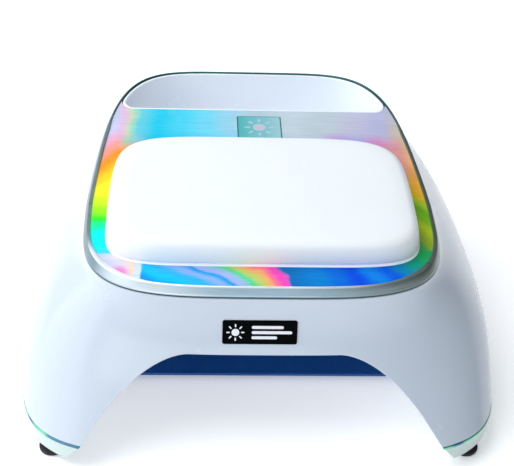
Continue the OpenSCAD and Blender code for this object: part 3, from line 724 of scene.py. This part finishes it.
def skin(d, drop, rows, gap):
    """Rows of one skin from just above its lower edge to the deck, and the lower edge itself."""
    t = skin_angles(d)
    h0 = arch_start(t, d, drop)
    edge = body_xyz(t, h0, d, drop)
    step = np.linalg.norm(body_xyz(t, h0 + 0.01, d, drop) - edge, axis=1) / 0.01
    first = h0 + gap / step
    ups = [body_xyz(t, first + (1 - first) * u, d, drop) for u in np.linspace(0, 1, rows)]
    return ups, edge


def bend(a, corner, b, steps=5):
    """Rows of a rounded corner from row a to row b."""
    run = np.linspace(0, 1, steps + 2)[1:-1]
    return [(1 - s) ** 2 * a + 2 * s * (1 - s) * corner + s ** 2 * b for s in run]


def toward(a, b, distance):
    """Points of row a moved towards row b by a distance."""
    run = b - a
    return a + run / np.linalg.norm(run, axis=1, keepdims=True) * distance


def keep_curve_shading(obj, smooth, limit=0.85):
    """After a cut, gives faces that lie on the old surface its old smooth normals."""
    old_faces, old_verts = smooth.data.polygons, smooth.data.vertices
    tree = BVHTree.FromPolygons([v.co[:] for v in old_verts], [p.vertices[:] for p in old_faces])
    mesh = obj.data
    normals = [None] * len(mesh.loops)
    for face in mesh.polygons:
        for k in face.loop_indices:
            point = mesh.vertices[mesh.loops[k].vertex_index].co
            _, _, index, _ = tree.find_nearest(point)
            total = Vector()
            for v in old_faces[index].vertices:
                total += old_verts[v].normal / ((old_verts[v].co - point).length + 1e-6)
            total.normalize()
            normals[k] = total if total.dot(face.normal) > limit and len(face.vertices) < 60 else face.normal
    mesh.normals_split_custom_set(normals)


def sill_xy():
    """Narrow shelf inside the housing that closes the slit below the control panel."""
    half, inner = PANEL_W / 2 - 2, 107.4
    wall = body_xyz(np.linspace(0, math.pi, 400), 0.03, WALL / 2)
    return [(x, y) for x, y, _ in wall if abs(x) < half] + [(-half, inner), (half, inner)]


def housing():
    edge_r, deck_r, rim_r = 0.9, 0.7, 0.5
    outer, outer_edge = skin(0, 0, 70, edge_r)
    inner, inner_edge = skin(WALL, WALL, 40, rim_r)
    rim = toward(outer_edge, inner_edge, edge_r)
    rim_in = toward(inner_edge, outer_edge, rim_r)
    top = outer[-1]
    middle = np.array([0, 0, DECK_Z])
    top_in = toward(top, np.broadcast_to(middle, top.shape), deck_r)
    shy = toward(top, outer[-2], deck_r)
    rows = [top_in] + bend(top_in, top, shy) + [shy] + outer[-2::-1]
    rows += bend(outer[0], outer_edge, rim) + [rim, rim_in] + bend(rim_in, inner_edge, inner[0], 3) + inner
    shell = loft("housing_shell_skin", rows)
    smooth = shell.copy()
    smooth.data = shell.data.copy()
    slot = prism("slot", slot_xy(0), -WELL_DEPTH - 3, 20, DECK)
    opening = plate_y(0, PANEL_MID_Z, PANEL_W + 0.6, PANEL_H + 0.6, PANEL_R + 0.3, 95, 135)
    pocket = prism("pocket", round_rect(0, 0, 35.3, 12.1, 1.15), 0, 3, BADGE)
    panel_low = PANEL_MID_Z - PANEL_H / 2
    cut(shell, prism("sill", sill_xy(), panel_low - 2.1, panel_low - 0.4), operation="UNION")
    cut(shell, slot, opening, pocket)
    keep_curve_shading(shell, smooth)
    bpy.data.meshes.remove(smooth.data)
    return dress(shell, GLOSS, "white_gloss", "housing_shell")


def base():
    """Lower frame that carries the feet, screws and rails."""
    angles = even_angles(lambda a: foot_xy(a, 0.5), COLUMNS)
    top = SHELL_Z - 1.6
    profile = soften([(4.6, FOOT_H), (1.1, FOOT_H), (0.4, FOOT_H + 1.2), (0.4, top), (4.6, top)],
                     [0, 0.9, 1, 0.35, 0])
    body = loft("base_frame_skin", [lift(foot_xy(angles, d), z) for d, z in profile])
    hollow = prism("hollow", foot_xy(angles, 3), FOOT_H + 2, 17)
    block = arch_prism(2, FAR_FRONT, CHAMBER_REAR + 2)
    low = prism("low", round_rect(0, 0, 300, 300, 1), 0, 8)
    cut(block, low, operation="INTERSECT")
    posts = join("posts", [prism("post", circle(x, y, 3.2), 0, 8.5) for x in (-58.5, 58.5) for y in (71, 98)])
    cut(hollow, block, posts)
    tunnel = arch_prism(0, FAR_FRONT, CHAMBER_REAR)
    ledges = [prism("ledge", round_rect(x, 8, 12, 116, 0.5), 6.15, 8.05) for x in (-90.5, 90.5)]
    cut(tunnel, join("ledges", ledges))
    rebate = prism("rebate", round_rect(0, COVER_Y, 124.6, 33.6, 3.3), 0, FOOT_H + 1.3)
    mouth = prism("mouth", round_rect(0, COVER_Y, 110, 20, 3), 0, 10)
    cut(body, hollow, tunnel, rebate, mouth)
    crisp(body)
    return dress(body, PEARL, "pearl_frame", "base_frame")


def accent():
    angles = even_angles(lambda a: foot_xy(a, 0), COLUMNS)
    low, high = SHELL_Z - 1.55, SHELL_Z - 0.05
    profile = soften([(2.9, low), (-0.1, low), (-0.1, high), (2.9, high)], [0, 0.35, 0.35, 0])
    strip = loft("accent_strip_trim", [lift(foot_xy(angles, d), z) for d, z in profile])
    hole = prism("hole", foot_xy(angles, 2.85), 5, 20)
    cut(strip, hole, arch_prism(0, FAR_FRONT, FRONT_PART))
    crisp(strip)
    return dress(strip, TEAL, "teal_metallic", "accent_strip")


def feet():
    profile = soften([(0.01, 0), (5.9, 0), (6.4, 0.9), (6.4, 2.4), (5.4, 2.5), (5.4, FOOT_H), (0.01, FOOT_H)],
                     [0, 0.7, 0.5, 0.3, 0.1, 0, 0])
    places = [(s * x, y) for x, y in ((100.5, -103), (104.5, -20), (84, 78)) for s in (-1, 1)]
    pads = []
    for x, y in places:
        place = Matrix.Translation((x, y, 0))
        groove = lathe("groove", [(0.01, -1), (3.1, -1), (2.7, 0.7), (0.01, 0.7)], place)
        pads.append(cut(lathe("foot", profile, place), groove))
    return dress(crisp(join("rubber_feet_pads", pads)), RUBBER, "foot_rubber", "rubber_feet")


# -------------------- top deck
def ring():
    """Sloped bezel whose flat top widens along both sides, over the edge of the plate."""
    angles = even_angles(lambda a: ring_xy(a, 0), COLUMNS)
    line = ring_xy(angles, 0)
    overhang = np.clip((np.abs(line[:, 0]) - 58) / 20, 0, 1) * np.clip((62 - line[:, 1]) / 14, 0, 1)
    profile = soften([(0, 0.05), (0.15, 1.3), (1.2, 3.5), (1.8, 4.7), (2.2, 4.7), (2.6, 3.97), (2.6, 3.85),
                      (2.6, 0.05)], [0.2, 0.5, 0.8, 0.35, 0.12, 0.03, 0.02, 0.1], 4, closed=True)
    rows = [lift(ring_xy(angles, i + overhang * (min(1, (i - 1.8) / 0.4) if i > 1.8 and w > 3.93 else 0)), w)
            for i, w in profile]
    obj = loft("bezel_ring_trim", rows, DECK, closed=True)
    return dress(crisp(obj, 60), SILVER, "bezel_silver", "bezel_ring")


def deck_sheet(name, low, high, edge):
    angles = even_angles(lambda a: ring_xy(a, PLATE_IN), COLUMNS)
    sheet = prism(name, ring_xy(angles, PLATE_IN), low, high, DECK)
    slot = prism("slot", slot_xy(0), -5, 20, DECK)
    rear = prism("rear", round_rect(0, SLOT_Y + SLOT_R + 30, 200, 60, 0.1), -5, 20, DECK)
    cut(sheet, slot, rear)
    if edge:
        round_edges(sheet, edge, 2, 50)
    return sheet


def printed_plate():
    plate = deck_sheet("top_plate_film", 2.3, PLATE_W, 0.25)
    pocket = prism("pocket", round_rect(EMBLEM_X, EMBLEM_Y, EMBLEM_W + 0.2, EMBLEM_D + 0.2, 0.9),
                   PLATE_W - 0.7, 10, DECK)
    cut(plate, pocket)
    return dress(crisp(plate), FILM, "iridescent_print", "top_plate")


def sun_mark(name, cx, cy, r, z0, z1, matrix):
    """Plain sun: a disc and eight rays."""
    parts = [prism("disc", circle(cx, cy, 0.42 * r), z0, z1, matrix)]
    for k in range(8):
        turn = Matrix.Translation((cx, cy, 0)) @ Matrix.Rotation(k * math.pi / 4, 4, "Z")
        ray = round_rect(0.8 * r, 0, 0.38 * r, 0.16 * r, 0.075 * r, 4)
        parts.append(prism("ray", ray, z0, z1, matrix @ turn))
    return crisp(join(name, parts))


def emblem():
    tile = prism("plate_emblem_tile", round_rect(EMBLEM_X, EMBLEM_Y, EMBLEM_W, EMBLEM_D, 0.8), PLATE_W - 0.7,
                 PLATE_W - 0.1, DECK)
    round_edges(tile, 0.18, 2)
    dress(crisp(tile), EMBLEM, "teal_metallic", "plate_emblem")
    mark = sun_mark("plate_emblem_mark", EMBLEM_X, EMBLEM_Y, 8.2, PLATE_W - 0.12, PLATE_W - 0.02, DECK)
    dress(mark, EMBLEM_LIGHT, "bezel_silver")


def rest_angles():
    return even_angles(lambda a: rest_xy(a, 0), 360)


def rest_base():
    angles = rest_angles()
    profile = soften([(30, 0), (-0.5, 0), (-0.5, 0.5), (1.2, 1.15), (1.2, 1), (30, 1)],
                     [0, 0.15, 0.2, 0.05, 0, 0])
    obj = loft("hand_rest_base_rim", [lift(rest_xy(angles, d), REST_Z + w) for d, w in profile], DECK)
    return dress(crisp(obj), RIM_WHITE_PAINTED_HIGHLIGHT, "white_gloss", "hand_rest_base")


def cushion():
    """Upholstered pad: a rolled edge above a tucked seam, and a top that crowns towards the middle."""
    angles = rest_angles()
    edge = soften([(12, 1.2), (0.1, 1.2), (-0.28, 2.1), (0.5, 6.4), (1.5, 10.2), (3.9, 11.9), (9, 12.5)],
                  [0, 0.35, 0.5, 1.2, 2, 2.6, 0], 6)
    rows = [lift(rest_xy(angles, d), REST_Z + w) for d, w in edge]
    brim, crown = rest_xy(angles, edge[-1][0]), 0.67
    middle = np.array([0, (REST_FRONT + REST_REAR) / 2])
    for shrink in np.linspace(0.94, 0.04, 16):
        rows.append(lift(middle + (brim - middle) * shrink, REST_Z + edge[-1][1] + crown * (1 - shrink ** 2)))
    pad = loft("hand_rest_cushion", rows, DECK)
    return dress(pad, CUSHION, "cushion", "hand_rest_pad")


def well():
    """Handle well: a cup whose lip stands round the slot."""
    lip = PLATE_W + 0.15
    dip = 0.75                                   # the lip drops under the plate along the front
    profile = soften([(12, -WELL_DEPTH), (0.3, -WELL_DEPTH), (0.3, lip), (2, lip), (2, 2 - WELL_DEPTH),
                      (12, 2 - WELL_DEPTH)], [0, 2.5, 0.75, 0.8, 6, 0], 6)
    rows = []
    for d, w in profile:
        xy = slot_xy(min(d, 5))
        front = np.clip((SLOT_Y + SLOT_R - xy[:, 1]) / SLOT_R, 0, 1)
        rows.append(lift(xy, w - dip * front * (w > 0)))
    cup = loft("handle_well_cup", rows, DECK)
    return dress(crisp(cup, 50), WELL_WHITE_PAINTED_LIGHT, "white_gloss", "handle_well")


def badge():
    tile = prism("front_badge_tile", round_rect(0, 0, 35, 11.8, 1), 0, 1, BADGE)
    round_edges(tile, 0.22, 3)
    dress(crisp(tile), BADGE_INK, "badge_black", "front_badge")
    mark = sun_mark("front_badge_sun", -11.5, 0, 4.3, 0.98, 1.03, BADGE)
    dress(mark, BADGE_WHITE, "white_gloss")
    bars = [prism("bar", round_rect(x, y, w, 1.5, 0.7), 0.98, 1.03, BADGE)
            for x, y, w in ((3.6, 2.6, 15), (5.6, 0, 19), (2.1, -2.6, 12))]
    dress(crisp(join("front_badge_bars", bars)), BADGE_WHITE, "white_gloss")


# -------------------- chamber
def side_frame(s):
    return Matrix.Translation((s * 71.5, 0, 30)) @ Matrix.Rotation(s * math.radians(46.5), 4, "Y")


LED_X = (-27, 0, 27)
LED_Y = (-60, -33, -6, 21, 46)
SENSOR_Y = -78


def reflector():
    liner = cut(arch_prism(2.4, FAR_FRONT, CHAMBER_REAR), arch_prism(0.4, FAR_FRONT - 10, CHAMBER_REAR - 2))
    inset = WALL + 0.35                          # the liner stays clear of the shell
    angles = even_angles(lambda a: body_xyz(a, 0.3, inset), 320)
    heights = np.linspace(0, 0.85, 26)
    rows = [lift(foot_xy(angles, inset), 8.3)] + [body_xyz(angles, h, inset, WALL) for h in heights]
    cut(liner, loft("inside", rows), operation="INTERSECT")
    holes = [prism("hole", circle(x, y, LENS_R, 32), 48, 58) for x in LED_X for y in LED_Y]
    holes += [prism("hole", circle(0, y, LENS_R, 32), -4, 6, side_frame(s)) for s in (-1, 1) for y in LED_Y]
    holes.append(prism("hole", circle(0, SENSOR_Y, LENS_R, 32), 49, 59))
    cut(liner, join("holes", holes))
    liner.name = "chamber_reflector_liner"
    return dress(crisp(liner), REFLECTOR, "reflector_white", "chamber_reflector")


def tray():
    lo, hi = box_mm("floor_tray")
    middle = (lo + hi) / 2
    plate = prism("floor_tray_plate", round_rect(0, middle.y, hi.x - lo.x, hi.y - lo.y, 2), lo.z, hi.z)
    round_edges(plate, 0.3, 3)
    return dress(crisp(plate), TRAY, "tray_navy", "floor_tray", body="floor_tray")


# -------------------- rear controls
BUTTONS = ((8, 38.5), (-7, 38.5), (8, 25.5), (-7, 25.5))
PANEL_Y = 111.6
ROCKER_X, ROCKER_Y, ROCKER_Z = -44, 109.2, 32
JACK_X, JACK_Z, LAMP_Z = -27, 25, 38
WINDOW_X, WINDOW_STEP = 33, 1.3               # display window and how far it is set in


def panel():
    back = PANEL_Y - 3.2
    plate = plate_y(0, PANEL_MID_Z, PANEL_W, PANEL_H, PANEL_R, back, PANEL_Y, "control_panel_face")
    round_edges(plate, 0.6, 3)
    wall = plate_y(0, PANEL_MID_Z, PANEL_W - 0.4, PANEL_H - 0.4, PANEL_R, 106.9, 108.5)
    flange = plate_y(0, PANEL_MID_Z, PANEL_W + 4.8, PANEL_H + 4, PANEL_R + 2, 105, 107)
    cut(plate, wall, flange, operation="UNION")
    inside = plate_y(0, PANEL_MID_Z + 0.1, PANEL_W - 8.4, 25, 1, 100, back)
    round_holes = [(x, z, 4.6, 48) for x, z in BUTTONS]
    round_holes += [(JACK_X, JACK_Z, 4.2, 48), (JACK_X, LAMP_Z, 1.7, 24)]
    holes = [prism("hole", circle(x, z, r, n), 90, 120, REAR) for x, z, r, n in round_holes]
    holes.append(plate_y(ROCKER_X, ROCKER_Z, 11, 16, 0.3, 90, 130))
    holes.append(plate_y(WINDOW_X, PANEL_MID_Z, 25, 12, 1.5, 90, 130))
    window_seat = plate_y(WINDOW_X, PANEL_MID_Z, 28.8, 15.8, 2.7, PANEL_Y - WINDOW_STEP, 120)
    cut(plate, inside, join("holes", holes), window_seat)
    dress(crisp(plate), PANEL, "panel_grey", "control_panel")

    glass = plate_y(WINDOW_X, PANEL_MID_Z, 28.4, 15.4, 2.5, PANEL_Y - WINDOW_STEP, PANEL_Y,
                    "display_window_glass")
    round_edges(glass, 0.25, 3)
    dress(crisp(glass), WINDOW, "display_glass", "display_window")

    for i, (x, z) in enumerate(BUTTONS):
        profile = soften([(0.01, 106.2), (5.3, 106.2), (5.3, 108.2), (4.3, 108.2), (4.3, PANEL_Y + 0.9),
                          (3.8, PANEL_Y + 1.4), (1.2, PANEL_Y + 1.15), (0.01, PANEL_Y + 1.1)],
                         [0, 0.2, 0.2, 0, 0.5, 0.5, 1, 0])
        name = f"timer_button_{i + 1}"
        cap = lathe(f"{name}_cap", profile, REAR @ Matrix.Translation((x, z, 0)))
        dress(crisp(cap, 45), BUTTON, "button_silver", name, body=name)


def rocker():
    frame_plate = plate_y(ROCKER_X, ROCKER_Z, 12.8, 17.8, 1.5, PANEL_Y, PANEL_Y + 1.2, "rocker_housing_frame")
    round_edges(frame_plate, 0.4, 3)
    barrel = plate_y(ROCKER_X, ROCKER_Z, 10.4, 15.4, 0.4, 98, PANEL_Y + 0.5)
    lugs = join("lugs", [plate_y(ROCKER_X + s * 2.5, ROCKER_Z - 1, 0.8, 4, 0.2, 93, 98.5) for s in (-1, 1)])
    cut(frame_plate, barrel, lugs, operation="UNION")
    cut(frame_plate, plate_y(ROCKER_X, ROCKER_Z, 8.2, 13.8, 0.5, 101, 130))
    dress(crisp(frame_plate), BLACK_PARTS, "component_black", "rocker_housing")

    lean = (Matrix.Translation((ROCKER_X, ROCKER_Y, ROCKER_Z)) @ Matrix.Rotation(math.radians(8), 4, "X")
            @ Matrix(((0, 0, 1, 0), (1, 0, 0, 0), (0, 1, 0, 0), (0, 0, 0, 1))))
    face = [(4.1, 6.1), (3.66, 4.0), (3.3, 2.0), (3.12, 0), (3.3, -2.0), (3.66, -4.0), (4.1, -6.1)]
    side = [(-3, -2.6), (-1, -4.6), (2.2, -6.2)] + face[::-1] + [(2.2, 6.2), (-1, 4.6), (-3, 2.6)]
    lever = prism("power_rocker_lever", side, -3.8, 3.8, lean)
    round_edges(lever, 0.35, 3, 25)
    pin = prism("pin", circle(0, 0, 1), -4.7, 4.7, lean)
    cut(lever, pin, operation="UNION")
    dress(crisp(lever), ROCKER, "rocker_red", "power_rocker", body="power_rocker")


# -------------------- pieces that keep their CAD shape
INNER = {
    "board_white": (BOARD_WHITE, ("ceiling_led_board", "side_led_board_left", "side_led_board_right")),
    "board_green": (BOARD_GREEN, ("main_board", "control_board")),
    "led_lens": (LENS, ("ceiling_leds", "side_leds_left", "side_leds_right")),
    "sensor_black": (SENSOR, ("hand_sensor",)),
    "aluminium": (ALUMINIUM, ("heat_spreader",)),
    "component_black": (BLACK_PARTS, ("thermal_cutout", "board_components", "buzzer", "battery_cradle",
                                      "display_module", "tact_switches", "dc_jack")),
    "cell_wrap": (CELL, ("battery_pack",)),
    "wire_red": (WIRE, ("wiring_loom",)),
    "white_matte": (MATTE, ("deck_carrier", "rear_cover", "tray_rail_left", "tray_rail_right")),
    "lamp_green": (LAMP, ("charge_light",)),
    "steel": (STEEL, ("frame_screws", "cover_screws", "rail_screws", "spreader_screws", "board_screws",
                      "panel_screws")),
}


def dress_inner():
    for slot, (material, names) in INNER.items():
        for name in names:
            node = NODES[name]
            node.data.materials.clear()
            node.data.materials.append(material)


# -------------------- stage, light and camera
def stage():
    size = 6.0
    mesh = bpy.data.meshes.new("floor")
    corners = [(x * size, y * size, 0) for x, y in ((-1, -1), (1, -1), (1, 1), (-1, 1))]
    mesh.from_pydata(corners, [], [(0, 1, 2, 3)])
    f = Finish("floor")
    f.set(Base_Color=f.blend(f.noise(3, 2), srgb(250, 250, 251), srgb(252, 253, 255)), Roughness=0.7)
    f.set(Emission_Color=(1, 1, 1, 1), Emission_Strength=0.34)
    mesh.materials.append(f.material)
    put("floor", mesh)


def aim(obj, place, look, roll=0.0):
    """Puts a light or the camera at place, looking along look."""
    obj.location = place
    obj.rotation_mode = "QUATERNION"
    obj.rotation_quaternion = look.to_track_quat("-Z", "Y") @ Quaternion((0, 0, 1), roll)


def area_light(name, place, target, width, height, power, colour=(1, 1, 1)):
    data = bpy.data.lights.new(name, "AREA")
    data.shape = "RECTANGLE"
    data.size, data.size_y = width, height
    data.energy = power
    data.color = colour
    aim(put(name, data), place, Vector(target) - Vector(place))


def light():
    """White room, brighter on the left, with a broad light overhead and a soft one at the left front."""
    world = bpy.data.worlds.new("studio")
    world.use_nodes = True
    nodes, links = world.node_tree.nodes, world.node_tree.links
    sky = nodes["Background"]
    place = nodes.new("ShaderNodeTexCoord")
    split = nodes.new("ShaderNodeSeparateXYZ")
    across = nodes.new("ShaderNodeMapRange")
    links.new(place.outputs["Generated"], split.inputs[0])
    links.new(split.outputs["X"], across.inputs["Value"])
    for key, number in (("From Min", -1), ("To Min", 0.62), ("To Max", 0.08)):
        across.inputs[key].default_value = number
    links.new(across.outputs["Result"], sky.inputs["Strength"])
    sky.inputs["Color"].default_value = (0.86, 0.93, 1.0, 1)
    bpy.context.scene.world = world
    area_light("overhead", (-0.55, 0.15, 1.1), (0, 0.02, 0.05), 1.2, 1.3, 13.5)
    area_light("left_fill", (-1.5, -0.5, 0.65), (0, 0, 0.04), 1.6, 1.3, 7, (0.94, 0.98, 1))
    area_light("front_fill", (-0.4, -1.7, 0.55), (0, 0, 0.06), 1.4, 0.7, 4.5, (0.93, 0.98, 1))


def camera():
    azimuth, elevation, roll, distance = -4.0, 35.0, 2.97, 0.6963
    target = Vector((0, 0.008, 0.050))
    a, e = math.radians(azimuth), math.radians(elevation)
    back = Vector((math.sin(a) * math.cos(e), -math.cos(a) * math.cos(e), math.sin(e)))
    data = bpy.data.cameras.new("camera")
    data.sensor_width = 36
    data.lens = 91.05
    data.shift_x = 0.0027
    obj = put("camera", data)
    aim(obj, target + back * distance, -back, math.radians(roll))
    bpy.context.scene.camera = obj


camera()
light()
stage()
housing()
base()
accent()
feet()
ring()
printed_plate()
emblem()
rest_base()
cushion()
well()
badge()
reflector()
tray()
panel()
rocker()
dress_inner()
bpy.context.scene.view_settings.view_transform = "Standard"
bpy.context.view_layer.update()
